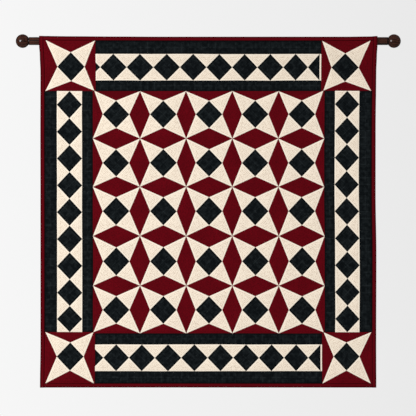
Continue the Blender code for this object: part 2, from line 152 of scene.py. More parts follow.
# The rod, its balls and the pocket
ROD_RADIUS = 0.0127
ROD_HALF_LENGTH = 0.5754
BALL_RADIUS = 0.0219
BALL_CENTRE = 0.5948
NECK_RADIUS = 0.0112
POCKET_PLY = 0.0009
POCKET_END_MARGIN = 0.030
POCKET_TOP_SEAM = -0.0049
POCKET_LOW_SEAM = -0.0654
POCKET_BACK = ((0.008, 0.0002), (0.022, 0.0016), (0.038, 0.0056), (0.054, 0.0122))

# The view: the photo's frame is 416 pixels wide, and a pixel is 3.2 mm at the cloth
FRAME_PIXELS = 416
PIXEL = 0.0032
ROD_AXIS_PIXEL_Y = 40.90
ROD_MIDDLE_PIXEL_X = 208.3
CAMERA_DISTANCE = 9.0
SHEET_IN_FRONT = 0.010
SENSOR = 36.0
FLOOR_BELOW_ROD = 1.75


def smoothstep(low, high, value):
    share = min(1.0, max(0.0, (value - low) / (high - low)))
    return share * share * (3.0 - 2.0 * share)


def between(rows, place, column):
    """The value of a table's column at a place between its rows, eased from row to row."""
    if place <= rows[0][0]:
        return rows[0][column]
    for before, after in zip(rows, rows[1:]):
        if place <= after[0]:
            share = smoothstep(before[0], after[0], place)
            return before[column] + share * (after[column] - before[column])
    return rows[-1][column]


def middle_plane(down):
    """Y of the cloth's middle layer: in front of the rod at the top, under it further down."""
    return FRONT_OF_ROD + (HANG_PLANE - FRONT_OF_ROD) * smoothstep(FALL_START, FALL_END, down)


def hung(across, through, down):
    """The place of a point of the flat cloth once it hangs. Through is positive to the front."""
    left = between(EDGE_DRIFT, down, 1)
    right = between(EDGE_DRIFT, down, 2)
    share = across / HALF_WIDTH
    x = across + (right * (1 + share) - left * (1 - share)) * abs(share) / 2
    flare = between(CORNER_FLARE, down, 2) if share > 0 else -between(CORNER_FLARE, down, 1)
    x += SHEET_ASIDE + flare * (1 - smoothstep(0.0, FLARE_DEPTH, HALF_WIDTH - abs(across)))
    loose = smoothstep(STILL_ABOVE, LOOSE_BELOW, down)
    sway = sum(deep * math.sin(a * across + b * down + start) for deep, a, b, start in WAVES)
    y = middle_plane(down) + loose * sway
    rise = between(TOP_RISE, across, 1) * (1 - smoothstep(0.0, TOP_RISE_DEPTH, down))
    return Vector((x, y - through, TOP_LINE - down + rise))


def border_lines(edge, way, widths):
    """Places of a border's seams, from the binding in to the field."""
    places = [edge + way * BINDING_WIDTH]
    for width in widths:
        places.append(places[-1] + way * width)
    return places


HALF_WIDTH = QUILT_WIDTH / 2
LINES = {
    "left": border_lines(-HALF_WIDTH, 1, BORDERS["left"]),
    "right": border_lines(HALF_WIDTH, -1, BORDERS["right"]),
    "top": border_lines(0.0, 1, BORDERS["top"]),
    "bottom": border_lines(QUILT_HEIGHT, -1, BORDERS["bottom"]),
}


# Patchwork

PLACE_DIGITS = 6
BOX_DIGITS = 5
TOUCHING = 1e-6
STRAIGHT = 1e-7
# How near a side another patch's corner lies on it, and how far in from the side's ends
ON_SIDE = 2e-6
PAST_END = 1e-4


def shared_out(start, stop, shares):
    """Places from start to stop, a step for each share."""
    places = [start]
    for share in shares:
        places.append(places[-1] + (stop - start) * share / sum(shares))
    return places


def star(square, reach):
    """The four corners of a dark square on its corner: top, right, bottom, left."""
    x, d = square
    return (x, d - reach[1]), (x + reach[0], d), (x, d + reach[1]), (x - reach[0], d)


def half_diamond(start, start_tip, stop, stop_tip, middle):
    """Red cloth between two points of a star and the straight side of its block."""
    side = Vector(stop) - Vector(start)
    outline = []
    for corner, tip in ((start, start_tip), (stop, stop_tip)):
        on_side = abs(side.cross(Vector(tip) - Vector(start))) < STRAIGHT
        ends = [tip] if on_side else [corner, tip]
        outline += ends[::-1] if not outline else ends
    return ("red", outline + [middle])


def field_patches(columns, rows):
    """Four-pointed stars in a grid: a dark square on its corner, four cream points, red diamonds between."""
    across, down = len(columns) - 1, len(rows) - 1
    tips = {(i, j): (columns[i], rows[j]) for i in range(across + 1) for j in range(down + 1)}
    bends = {}
    for (side, end), corner in CORNERS.items():
        place = (0 if side == "left" else across, 0 if end == "top" else down)
        bends[place] = ((corner.strip_end, rows[place[1]]), (columns[place[0]], corner.side_end))
        tips[place] = corner.meeting
    stars = {}
    for i in range(across):
        for j in range(down):
            x = (columns[i] + columns[i + 1]) / 2 + SQUARES_ASIDE[i]
            d = (rows[j] + rows[j + 1]) / 2 + SQUARES_DOWN[j]
            stars[i, j] = star((x, d), (SQUARE_REACH_ACROSS, SQUARE_REACH_DOWN[j]))
    patches = []
    for (i, j), square in stars.items():
        top, right, bottom, left = square
        patches += [
            ("dark", list(square)),
            ("cream", [tips[i, j], top, left]),
            ("cream", [tips[i + 1, j], right, top]),
            ("cream", [tips[i + 1, j + 1], bottom, right]),
            ("cream", [tips[i, j + 1], left, bottom]),
        ]
    for i in range(across):
        for j in range(1, down):
            patches.append(("red", [tips[i, j], stars[i, j - 1][2], tips[i + 1, j], stars[i, j][0]]))
        for j, middle in ((0, stars[i, 0][0]), (down, stars[i, down - 1][2])):
            ends = [bends[k, j][0] if (k, j) in bends else tips[k, j] for k in (i, i + 1)]
            patches.append(half_diamond(ends[0], tips[i, j], ends[1], tips[i + 1, j], middle))
    for j in range(down):
        for i in range(1, across):
            patches.append(("red", [tips[i, j], stars[i - 1, j][1], tips[i, j + 1], stars[i, j][3]]))
        for i, middle in ((0, stars[0, j][3]), (across, stars[across - 1, j][1])):
            ends = [bends[i, k][1] if (i, k) in bends else tips[i, k] for k in (j, j + 1)]
            patches.append(half_diamond(ends[0], tips[i, j], ends[1], tips[i, j + 1], middle))
    return patches


def corner_patches(side, end):
    """The star of one corner, whose points end on its block's lines and meet the field's star."""
    corner = CORNERS[side, end]
    outer_x, field_x = LINES[side][0], LINES[side][-1]
    outer_d, field_d = LINES[end][0], LINES[end][-1]
    square = star(corner.square, corner.reach)
    upper, lower = (square[0], square[2]) if end == "top" else (square[2], square[0])
    outer, inner = (square[3], square[1]) if side == "left" else (square[1], square[3])
    outer_tip, inner_tip = (corner.outer_tip, outer_d), (corner.inner_tip, outer_d)
    side_tip, meeting = (corner.side_tip, corner.side_end), corner.meeting
    box_outer, box_side = (outer_x, outer_d), (outer_x, corner.side_end)
    box_inner, bend = (corner.strip_end, outer_d), (corner.strip_end, field_d)
    return [
        ("dark", list(square)),
        ("cream", [outer_tip, upper, outer]),
        ("cream", [inner_tip, inner, upper]),
        ("cream", [meeting, lower, inner]),
        ("cream", [side_tip, outer, lower]),
        ("red", [outer_tip, inner_tip, upper]),
        ("red", [box_outer, outer_tip, outer, side_tip, box_side]),
        ("red", [side_tip, lower, meeting, (field_x, corner.side_end)]),
        ("red", [box_inner, bend, meeting, inner, inner_tip]),
    ]


def diamond_run(low, high, necks):
    """Dark diamonds in a row from neck to neck, with cream triangles between. Along runs first."""
    patches = []
    middle = (low + high) / 2
    centres = [(a + b) / 2 for a, b in zip(necks, necks[1:])]
    for start, centre, stop in zip(necks, centres, necks[1:]):
        patches.append(("dark", [(start, middle), (centre, low), (stop, middle), (centre, high)]))
    for before, neck, after in zip(centres, necks[1:], centres[1:]):
        for side in (low, high):
            patches.append(("cream", [(before, side), (neck, middle), (after, side)]))
    return patches


def side_border(side):
    """The upright border: two dark strips and whole diamonds from end to end between them."""
    start, stop = CORNERS[side, "top"].side_end, CORNERS[side, "bottom"].side_end
    lines = LINES[side]
    low, high = sorted(lines[1:3])
    necks = shared_out(start, stop, SIDE_DIAMONDS[side])
    along = diamond_run(low, high, necks)
    middle = (low + high) / 2
    for end, centre in ((start, (start + necks[1]) / 2), (stop, (necks[-2] + stop) / 2)):
        for edge in (low, high):
            along.append(("cream", [(end, edge), (end, middle), (centre, edge)]))
    patches = [(cloth, [(x, d) for d, x in outline]) for cloth, outline in along]
    for strip in (lines[0:2], lines[2:4]):
        patches.append(box_patch("dark", *sorted(strip), start, stop))
    return patches


def end_border(end):
    """The level border: two dark strips, and diamonds between them with part of one cut off at each end."""
    start, stop = CORNERS["left", end].strip_end, CORNERS["right", end].strip_end
    lines = LINES[end]
    low, high = sorted(lines[1:3])
    necks = [FIRST_NECK[end]]
    for length in END_DIAMONDS[end]:
        necks.append(necks[-1] + length)
    patches = diamond_run(low, high, necks)
    middle = (low + high) / 2
    slip = stop - CREAM_SLIP[end]
    first_half, last_half = (necks[1] - necks[0]) / 2, (necks[-1] - necks[-2]) / 2
    for outer, neck, half in ((start, necks[0], first_half), (slip, necks[-1], -last_half)):
        share = (neck - outer) / half
        rise = min(share, 1.0) * (high - low) / 2
        whole = share > WHOLE_HALF
        for edge, sign in ((low, -1), (high, 1)):
            cut = (outer, edge) if whole else (outer, middle + sign * rise)
            outline = [(neck + half, edge), (neck, middle), cut]
            patches.append(("cream", outline if whole else outline + [(outer, edge)]))
        tip = (high - low) / 2 if whole else rise
        patches.append(("dark", [(outer, middle - tip), (neck, middle), (outer, middle + tip)]))
    patches.append(box_patch("cream", slip, stop, low, high))
    for strip in (lines[0:2], lines[2:4]):
        patches.append(box_patch("dark", start, stop, *sorted(strip)))
    return patches


def box_patch(cloth, x0, x1, d0, d1):
    return (cloth, [(x0, d0), (x1, d0), (x1, d1), (x0, d1)])


def quilt_patches():
    """Every patch as its cloth and its outline in flat places, X across and D down from the top edge."""
    columns = shared_out(LINES["left"][-1], LINES["right"][-1], COLUMN_WIDTHS)
    rows = shared_out(LINES["top"][-1], LINES["bottom"][-1], ROW_HEIGHTS)
    patches = field_patches(columns, rows)
    for side in ("left", "right"):
        patches += side_border(side)
        for end in ("top", "bottom"):
            patches += corner_patches(side, end)
    for end in ("top", "bottom"):
        patches += end_border(end)
    return patches + seam_allowance()


def seam_allowance():
    """The flat rim of the cloth that lies inside the binding, as four mitred pieces."""
    out_x, in_x = HALF_WIDTH - CLOTH_INSET, HALF_WIDTH - BINDING_WIDTH
    out_top, in_top = CLOTH_INSET, BINDING_WIDTH
    out_low, in_low = QUILT_HEIGHT - CLOTH_INSET, QUILT_HEIGHT - BINDING_WIDTH
    outer = [(-out_x, out_top), (out_x, out_top), (out_x, out_low), (-out_x, out_low)]
    inner = [(-in_x, in_top), (in_x, in_top), (in_x, in_low), (-in_x, in_low)]
    turned = outer[1:] + outer[:1], inner[1:] + inner[:1]
    return [("rim", [a, b, c, d]) for a, b, c, d in zip(outer, turned[0], turned[1], inner)]


def rounded(place):
    return (round(place[0], PLACE_DIGITS), round(place[1], PLACE_DIGITS))


def with_neighbours_corners(outlines):
    """Each outline with its neighbours' corners that lie on its sides, so that the patches share them."""
    corners = sorted({rounded(place) for outline in outlines for place in outline})
    full = []
    for outline in outlines:
        walked = []
        for start, stop in zip(outline, outline[1:] + outline[:1]):
            a, b = Vector(start), Vector(stop)
            line = b - a
            low = (min(a.x, b.x) - TOUCHING, min(a.y, b.y) - TOUCHING)
            high = (max(a.x, b.x) + TOUCHING, max(a.y, b.y) + TOUCHING)
            walked.append((0.0, rounded(start)))
            on_side = []
            for corner in corners:
                if not (low[0] <= corner[0] <= high[0] and low[1] <= corner[1] <= high[1]):
                    continue
                share = (Vector(corner) - a).dot(line) / line.length_squared
                off = (Vector(corner) - a - share * line).length
                if off < ON_SIDE and PAST_END < share * line.length < line.length - PAST_END:
                    on_side.append((share, corner))
            walked += sorted(on_side)
        full.append([place for _, place in walked])
    return full


class Patch:
    """A patch's cloth and outline, and the line of its cloth's grain."""

    def __init__(self, cloth, outline):
        area = sum(a[0] * b[1] - b[0] * a[1] for a, b in zip(outline, outline[1:] + outline[:1]))
        self.cloth = cloth
        self.outline = outline if area > 0 else outline[::-1]
        self.corners = [Vector(place) for place in self.outline]
        self.centre = sum(self.corners, Vector((0.0, 0.0))) / len(self.corners)
        on_point = cloth == "dark" and len(outline) < 5 and not self.is_box()
        self.grain = math.radians(45) if on_point else 0.0
        self.sides = []
        for start, stop in zip(self.corners, self.corners[1:] + self.corners[:1]):
            along = (stop - start).normalized()
            self.sides.append((start, along, Vector((-along.y, along.x))))

    def is_box(self):
        xs = {round(place[0], BOX_DIGITS) for place in self.outline}
        ds = {round(place[1], BOX_DIGITS) for place in self.outline}
        return len(xs) == 2 and len(ds) == 2

    def from_seam(self, place):
        """How far inside the patch's nearest seam a place lies."""
        return max(0.0, min((place - start).dot(inward) for start, _, inward in self.sides))

    def side_at(self, place):
        return min(self.sides, key=lambda side: (place - side[0]).dot(side[2]))


def flat_place(vertex):
    return Vector((vertex.co.x, -vertex.co.z))


def rim_faces(made):
    """The faces whose patch is the rim inside the binding."""
    layer = made.faces.layers.int["patch"]
    return [face for face in made.faces if PATCHES[face[layer]].cloth == "rim"]


def cut_into_cells(made, counts, only_rim=False):
    """Cuts the flat sheet by level and upright planes into cells, so that it can puff and bend."""
    across, down = counts
    ways = (
        (Vector((0, 0, 1)), -QUILT_HEIGHT, 0.0, down),
        (Vector((1, 0, 0)), -HALF_WIDTH, HALF_WIDTH, across),
    )
    for way, low, high, count in ways:
        for k in range(1, count):
            place = way * (low + (high - low) * k / count)
            faces = rim_faces(made) if only_rim else made.faces[:]
            edges = {edge for face in faces for edge in face.edges} if only_rim else made.edges[:]
            points = {point for face in faces for point in face.verts} if only_rim else made.verts[:]
            cut = [*points, *edges, *faces]
            bmesh.ops.bisect_plane(made, geom=cut, dist=CUT_SNAP, plane_co=place, plane_no=way)


def pieced_cloth(counts):
    """A bmesh of the patches laid flat, cut into cells, with the patch of each face in a layer."""
    made = bmesh.new()
    layer = made.faces.layers.int.new("patch")
    points = {}
    for index, outline in enumerate(with_neighbours_corners([patch.outline for patch in PATCHES])):
        corners = []
        for place in outline:
            if place not in points:
                points[place] = made.verts.new((place[0], 0.0, -place[1]))
            corners.append(points[place])
        made.faces.new(corners)[layer] = index
    cut_into_cells(made, counts)
    return made


def puff_at(patch, place):
    """How far a place of the sheet stands up from the seams round it."""
    if patch.cloth == "rim":
        return 0.0
    full = 1.0 - math.exp(-patch.from_seam(place) / PUFF_REACH)
    uneven = noise.noise(Vector((place.x, place.y, 0.0)) * UNEVEN_SCALE)
    return PUFF_HEIGHT * full * (1.0 + UNEVEN_PUFF * uneven)


def wander_at(place):
    """The small drift of seams that were sewn by hand, none at the cloth's edges."""
    inset = min(HALF_WIDTH - abs(place.x), place.y, QUILT_HEIGHT - place.y)
    share = WANDER * smoothstep(BINDING_WIDTH, WANDER_FREE, inset)
    spot = Vector((place.x, place.y, WANDER_SLICE)) * WANDER_SCALE
    return Vector((noise.noise(spot), noise.noise(spot + WANDER_DOWN))) * share


def map_cloth(made, slots):
    """Gives each face its cloth, and its corners their places along the grain and from the nearest seam."""
    layer = made.faces.layers.int["patch"]
    grain = made.loops.layers.uv.new("grain")
    stitch = made.loops.layers.uv.new("stitch")
    for face in made.faces:
        patch = PATCHES[face[layer]]
        face.material_index = slots[patch.cloth]
        face.smooth = True
        turn_cos, turn_sin = math.cos(patch.grain), math.sin(patch.grain)
        places = [flat_place(loop.vert) for loop in face.loops]
        start, along, inward = patch.side_at(sum(places, Vector((0.0, 0.0))) / len(places))
        for loop, place in zip(face.loops, places):
            x, d = place - patch.centre
            loop[grain].uv = (x * turn_cos + d * turn_sin, d * turn_cos - x * turn_sin)
            from_start = place - start
            loop[stitch].uv = (from_start.dot(along), from_start.dot(inward))


def raise_cloth(made, way):
    """Moves each flat point to the front or back of the sheet, by its seam's depth and its puff."""
    layer = made.faces.layers.int["patch"]
    share = 1.0 if way > 0 else BACK_SHARE
    for vertex in made.verts:
        patch = PATCHES[vertex.link_faces[0][layer]]
        through = SEAM_HALF_THICKNESS + share * puff_at(patch, flat_place(vertex))
        vertex.co.y = -way * through


def hang_cloth(made):
    for vertex in made.verts:
        place = flat_place(vertex)
        place += wander_at(place)
        vertex.co = hung(place.x, -vertex.co.y, place.y)


def as_object(name, made, materials):
    mesh = bpy.data.meshes.new(name)
    made.to_mesh(mesh)
    made.free()
    for one in materials:
        mesh.materials.append(one)
    piece = bpy.data.objects.new(name, mesh)
    bpy.context.scene.collection.objects.link(piece)
    return piece


def quilt_sheet(cloths, backing):
    """The whole quilted sheet: pieced front, quilted back, and the rim that joins them in the binding."""
    front = pieced_cloth(FRONT_CELLS)
    map_cloth(front, {"cream": 0, "red": 1, "dark": 2, "rim": 1})
    raise_cloth(front, 1)
    back = pieced_cloth(BACK_CELLS)
    cut_into_cells(back, FRONT_CELLS, only_rim=True)
    map_cloth(back, {"cream": 3, "red": 3, "dark": 3, "rim": 3})
    raise_cloth(back, -1)
    bmesh.ops.reverse_faces(back, faces=back.faces[:])
    behind = bpy.data.meshes.new("behind")
    back.to_mesh(behind)
    back.free()
    front.from_mesh(behind)
    bpy.data.meshes.remove(behind)
    rims = [edge for edge in front.edges if edge.is_boundary]
    bmesh.ops.bridge_loops(front, edges=rims)
    hang_cloth(front)
    bmesh.ops.triangulate(front, faces=[face for face in front.faces if len(face.verts) > 4])
    bmesh.ops.recalc_face_normals(front, faces=front.faces[:])
    return as_object("quilt_sheet", front, (*cloths, backing))


# Binding

BINDING_STEPS = 230
BINDING_ROUND = 15
BINDING_CROWN = 0.0005
LIP_PINCH = 0.0006
LIP_PINCH_START = 0.7
LIP_PINCH_SWING = 0.25
LIP_STITCH = 0.0068
LIP_WANDER = 0.0004
LIP_WANDER_START = 0.5
LIP_WANDER_SCALE = 30
BINDING_CLOTH_WIDTH = 2 * BINDING_WIDTH + math.pi * SEAM_HALF_THICKNESS


def binding_spot(share, along):
    """A point of the binding's fold, front lip to back lip, as inset from the edge and place through."""
    half = SEAM_HALF_THICKNESS + CLEARANCE + BINDING_PLY
    flat_run = BINDING_WIDTH - half
    arc = math.pi * half / 2
    way = (2 * share - 1) * (flat_run + arc)
    sign = -1.0 if way > 0 else 1.0
    reach = abs(way)
    if reach < arc:
        turn = reach / half
        return half * (1 - math.cos(turn)), sign * half * math.sin(turn)
    inset = half + reach - arc
    inward = (inset - half) / flat_run
    crown = BINDING_CROWN * math.sin(math.pi * inward)
    pinch = LIP_PINCH * smoothstep(LIP_PINCH_START, 1.0, inward)
    pinch *= 1 - LIP_PINCH_SWING + LIP_PINCH_SWING * math.sin(math.tau * along / LIP_STITCH)
    drift = noise.noise(Vector((along * LIP_WANDER_SCALE, sign, 0)))
    wander = LIP_WANDER * smoothstep(LIP_WANDER_START, 1.0, inward) * drift
    return inset + wander, sign * (half + crown - pinch)


def binding_strip(name, cloth, start, stop, place, closed_ends):
    """One strip folded round the cloth's edge, with a ply's thickness inwards."""
    made = bmesh.new()
    grid = bmesh.ops.create_grid(made, x_segments=BINDING_STEPS, y_segments=BINDING_ROUND, size=0.5)
    grain = made.loops.layers.uv.new("grain")
    for face in made.faces:
        face.smooth = True
        for loop in face.loops:
            along = (loop.vert.co.x + 0.5) * (stop - start)
            loop[grain].uv = (along, loop.vert.co.y * BINDING_CLOTH_WIDTH)
    ends = [[], []]
    for vertex in sorted(grid["verts"], key=lambda point: point.co.y):
        along, share = vertex.co.x + 0.5, vertex.co.y + 0.5
        station = start + (stop - start) * along
        if min(along, 1 - along) < TOUCHING:
            ends[round(along)].append(vertex)
        vertex.co = hung(*place(station, *binding_spot(share, station)))
    if closed_ends:
        for end in ends:
            made.faces.new(end)
    bmesh.ops.recalc_face_normals(made, faces=made.faces[:])
    made.normal_update()
    lip = min(made.verts, key=lambda vertex: vertex.co.y)
    if lip.normal.y > 0:
        bmesh.ops.reverse_faces(made, faces=made.faces[:])
    strip = as_object(name, made, (cloth,))
    ply = strip.modifiers.new("ply", "SOLIDIFY")
    ply.thickness = BINDING_PLY
    ply.offset = -1.0
    return strip


def bindings(cloth):
    """The four strips: the upright ones run from end to end, the level ones butt against them."""
    made = []
    for name, sign in (("left", -1), ("right", 1)):
        def upright(down, inset, through, sign=sign):
            return sign * (HALF_WIDTH - inset), through, down
        made.append(binding_strip(f"binding_{name}_folded", cloth, 0.0, QUILT_HEIGHT, upright, True))
    end = HALF_WIDTH - BINDING_WIDTH - CLEARANCE
    for name, edge, way in (("top", 0.0, 1), ("bottom", QUILT_HEIGHT, -1)):
        def level(across, inset, through, edge=edge, way=way):
            return across, through, edge + way * inset
        made.append(binding_strip(f"binding_{name}_folded", cloth, -end, end, level, False))
    return made


# Rod pocket

POCKET_ACROSS = 110
POCKET_ARC_STEPS = 16
POCKET_RIPPLE = 0.0007
RIPPLE_SCALE = (16, 6)
RIPPLE_SLICE = 2.0
SLACK_BELOW_ROD = 0.03
SLACK_ABOVE_SEAM = 0.012


def pocket_path():
    """The rod pocket's path in Y and Z: out of the sheet, over the rod, and back down to its lower seam."""
    radius = ROD_RADIUS + CLEARANCE + POCKET_PLY / 2
    path = [(middle_plane(TOP_LINE - POCKET_TOP_SEAM) + SEAM_HALF_THICKNESS, POCKET_TOP_SEAM)]
    turns = [math.pi * (1 - k / POCKET_ARC_STEPS) for k in range(POCKET_ARC_STEPS + 1)]
    path += [(radius * math.cos(turn), radius * math.sin(turn)) for turn in turns]
    path += [(radius - inward, -drop) for drop, inward in POCKET_BACK]
    path.append((middle_plane(TOP_LINE - POCKET_LOW_SEAM) + SEAM_HALF_THICKNESS, POCKET_LOW_SEAM))
    return [Vector(place) for place in path]


def rod_pocket(cloth):
    """The hanging sleeve: a strip of the backing's cloth over the rod, rippled where it is slack."""
    made = bmesh.new()
    path = pocket_path()
    reach = HALF_WIDTH - POCKET_END_MARGIN
    rows = len(path) - 1
    lengths = [0.0]
    for before, after in zip(path, path[1:]):
        lengths.append(lengths[-1] + (after - before).length)
    grid = bmesh.ops.create_grid(made, x_segments=POCKET_ACROSS, y_segments=rows, size=0.5)
    grain = made.loops.layers.uv.new("grain")
    for face in made.faces:
        face.smooth = True
        for loop in face.loops:
            row = round((loop.vert.co.y + 0.5) * rows)
            loop[grain].uv = (loop.vert.co.x * 2 * reach, lengths[row])
    for vertex in grid["verts"]:
        row = round((vertex.co.y + 0.5) * rows)
        across = vertex.co.x * 2 * reach
        y, z = path[row]
        below_rod = smoothstep(0.0, SLACK_BELOW_ROD, -z)
        above_seam = smoothstep(0.0, SLACK_ABOVE_SEAM, z - POCKET_LOW_SEAM)
        slack = below_rod * above_seam if row >= rows / 2 else 0.0
        ripple = noise.noise(Vector((across * RIPPLE_SCALE[0], z * RIPPLE_SCALE[1], RIPPLE_SLICE)))
        vertex.co = (across, y + slack * POCKET_RIPPLE * ripple, z)
    bmesh.ops.recalc_face_normals(made, faces=made.faces[:])
    pocket = as_object("rod_pocket", made, (cloth,))
    ply = pocket.modifiers.new("ply", "SOLIDIFY")
    ply.thickness = POCKET_PLY
    ply.offset = 0.0
    return pocket, lengths[-1]


# Rod

ROD_SIDES = 64
ROD_EASED = 0.0014
ROD_EASED_STEPS = 6
BALL_RINGS = 28


def turned(name, profile, wood):
    """A piece turned on a lathe: a profile of places along the rod and radii, spun about the rod's axis."""
    made = bmesh.new()
    points = [made.verts.new((along, 0.0, radius)) for along, radius in profile]
    edges = [made.edges.new(pair) for pair in zip(points, points[1:])]
    bmesh.ops.spin(
        made, geom=[*points, *edges], cent=(0, 0, 0), axis=(1, 0, 0),
        angle=math.tau, steps=ROD_SIDES, use_merge=True,
    )
    bmesh.ops.remove_doubles(made, verts=made.verts[:], dist=TOUCHING)
    bmesh.ops.recalc_face_normals(made, faces=made.faces[:])
    for face in made.faces:
        face.smooth = True
    return as_object(name, made, (wood,))


def eased_rod_profile():
    """The rod's outline from end to end: flat end faces and edges rounded off."""
    turns = [math.radians(90 / ROD_EASED_STEPS * k) for k in range(ROD_EASED_STEPS + 1)]
    corner = [(ROD_HALF_LENGTH - ROD_EASED * (1 - math.sin(turn)),
               ROD_RADIUS - ROD_EASED * (1 - math.cos(turn))) for turn in turns]
    mirrored = [(-along, radius) for along, radius in reversed(corner)]
    return [(-ROD_HALF_LENGTH, 0.0), *mirrored, *corner, (ROD_HALF_LENGTH, 0.0)]


def ball_profile(side):
    """A ball's outline from its outer pole to its neck and the neck's face, as places along and radii."""
    stop = math.asin(NECK_RADIUS / BALL_RADIUS)
    turns = [(math.pi - stop) * k / BALL_RINGS for k in range(BALL_RINGS + 1)]
    profile = []
    for turn in turns:
        profile.append((side * (BALL_CENTRE + BALL_RADIUS * math.cos(turn)), BALL_RADIUS * math.sin(turn)))
    face = side * (ROD_HALF_LENGTH + CLEARANCE)
    return profile + [(face, NECK_RADIUS), (face, 0.0)]


# Finishes

# Colours of the cloths, of their smooth rims and quilting lines, and of the wood
CREAM = (0.895, 0.783, 0.640)
CREAM_RIM = (0.885, 0.790, 0.660, 1.0)
CREAM_LINE = (0.42, 0.29, 0.20, 1.0)
RED = (0.118, 0.0011, 0.0048)
RED_RIM = (0.100, 0.0009, 0.0041, 1.0)
RED_LINE = (0.030, 0.0004, 0.0016, 1.0)
DARK = (0.0016, 0.0028, 0.0038)
DARK_RIM = (0.0022, 0.0032, 0.0042, 1.0)
DARK_LINE = (0.0012, 0.0016, 0.0020, 1.0)
CHECK_LINE = (0.030, 0.038, 0.041, 1.0)
BINDING_RED = (0.100, 0.0009, 0.0040)
MUSLIN = (0.78, 0.71, 0.60)
WOOD_DARK = (0.012, 0.0036, 0.0018, 1.0)
WOOD_LIGHT = (0.080, 0.0215, 0.0100, 1.0)

# Cotton: its sheen, weave, uneven threads and cloudy patches
CLOTH_ROUGHNESS = 0.92
CLOTH_GLOSS = 0.05
CLOTH_RELIEF = 0.0006
WEAVE_PITCH = 0.0007
WEAVE_RELIEF = 0.00006
WEAVE_STRENGTH = 0.5
STREAK_SCALES = (900.0, 45.0)
CLOUD_SCALE = 16.0
CLOUD_SHADE = 0.72
# Values of a noise between which it turns from none to full
NOISE_SPAN = (0.3, 0.7)
# Scale and strength of creases
BACKING_CREASES = (120.0, 0.35)
BINDING_CREASES = (160.0, 0.5)

# Quilting, inward from a patch's seam: a span is where a mark fades in or out
STITCH_LENGTH = 0.0030
STITCH_SPAN = (0.22, 0.30)
DITCH_REACH = 0.0016
# Painted shade in the seam's ditch: its share, and how dark it makes the cloth
DITCH_SHADE_SHARE = 0.30
DITCH_SHADE = 0.35
RIM_SPAN = (0.0030, 0.0054)
RIM_SHARE = 0.7
QUILTING_INSET = 0.0062
QUILTED_SPAN = (0.0040, 0.0046)
ECHO_PITCH = 0.0046
GROOVE_REACH = 0.0015
GROOVE_DIP = 0.45
STITCH_DIP = 0.35
SPECK_SCALE = 230.0
SPECK_SPAN = (0.40, 0.62)
SPECK_SHARE = 0.75
PUCKERS_ALONG = 260.0
PUCKERS_INWARD = 90.0
PUCKER_REACH = 0.011
PUCKER_LEFT = 0.15
PUCKER_SHARE = 0.8
QUILTED_STRENGTH = 0.8

# The dark cloth's check: pitch, half widths of a line's core and of its soft edge, and strength
CHECK_PITCH = 0.0216
STRONG_LINES = (CHECK_PITCH, 0.0005, 0.0016, 0.85)
FINE_LINES = (CHECK_PITCH / 6, 0.0003, 0.0011, 0.50)
CHECK_WEAR_SCALE = 90.0
CHECK_WEAR = (0.36, 0.64, 0.25, 1.0)
CHECK_SHARE = 0.55

# The binding: spans of the painted shade at its sewn lip, measured from the lip, and at its fold
LIP_SHADE_SPAN = (0.0026, 0.0008)
FOLD_SHADE_SPAN = (0.0046, 0.0080)
FOLD_SHADE_SHARE = 0.80
BINDING_SHADING = 0.75
BINDING_SHADE = 0.25

# The wood: its varnish, its grain, the stain at its joints, and painted shade where it turns away from the
# view
WOOD_ROUGHNESS = 0.42
WOOD_GLOSS = 0.16
VARNISH_WEIGHT = 1.0
VARNISH_ROUGHNESS = 0.10
GRAIN_SCALE = (7.0, 260.0, 260.0)
GRAIN_SPAN = (0.32, 0.68)
GRAIN_RELIEF = 0.0002
GRAIN_STRENGTH = 0.3
BROAD_GRAIN_SCALE = 9.0
BROAD_GRAIN_SHARE = 0.5
JOINT_STAIN = (0.0010, 0.0045, 0.85, 0.0)
JOINT_SHADE = 0.2
# Painted shade: the wood's colour darkens where its surface turns away from the view
PAINTED_EDGE_SHADE_SPAN = (0.40, 0.95, 0.0, 0.85)
PAINTED_EDGE_SHADE = 0.3


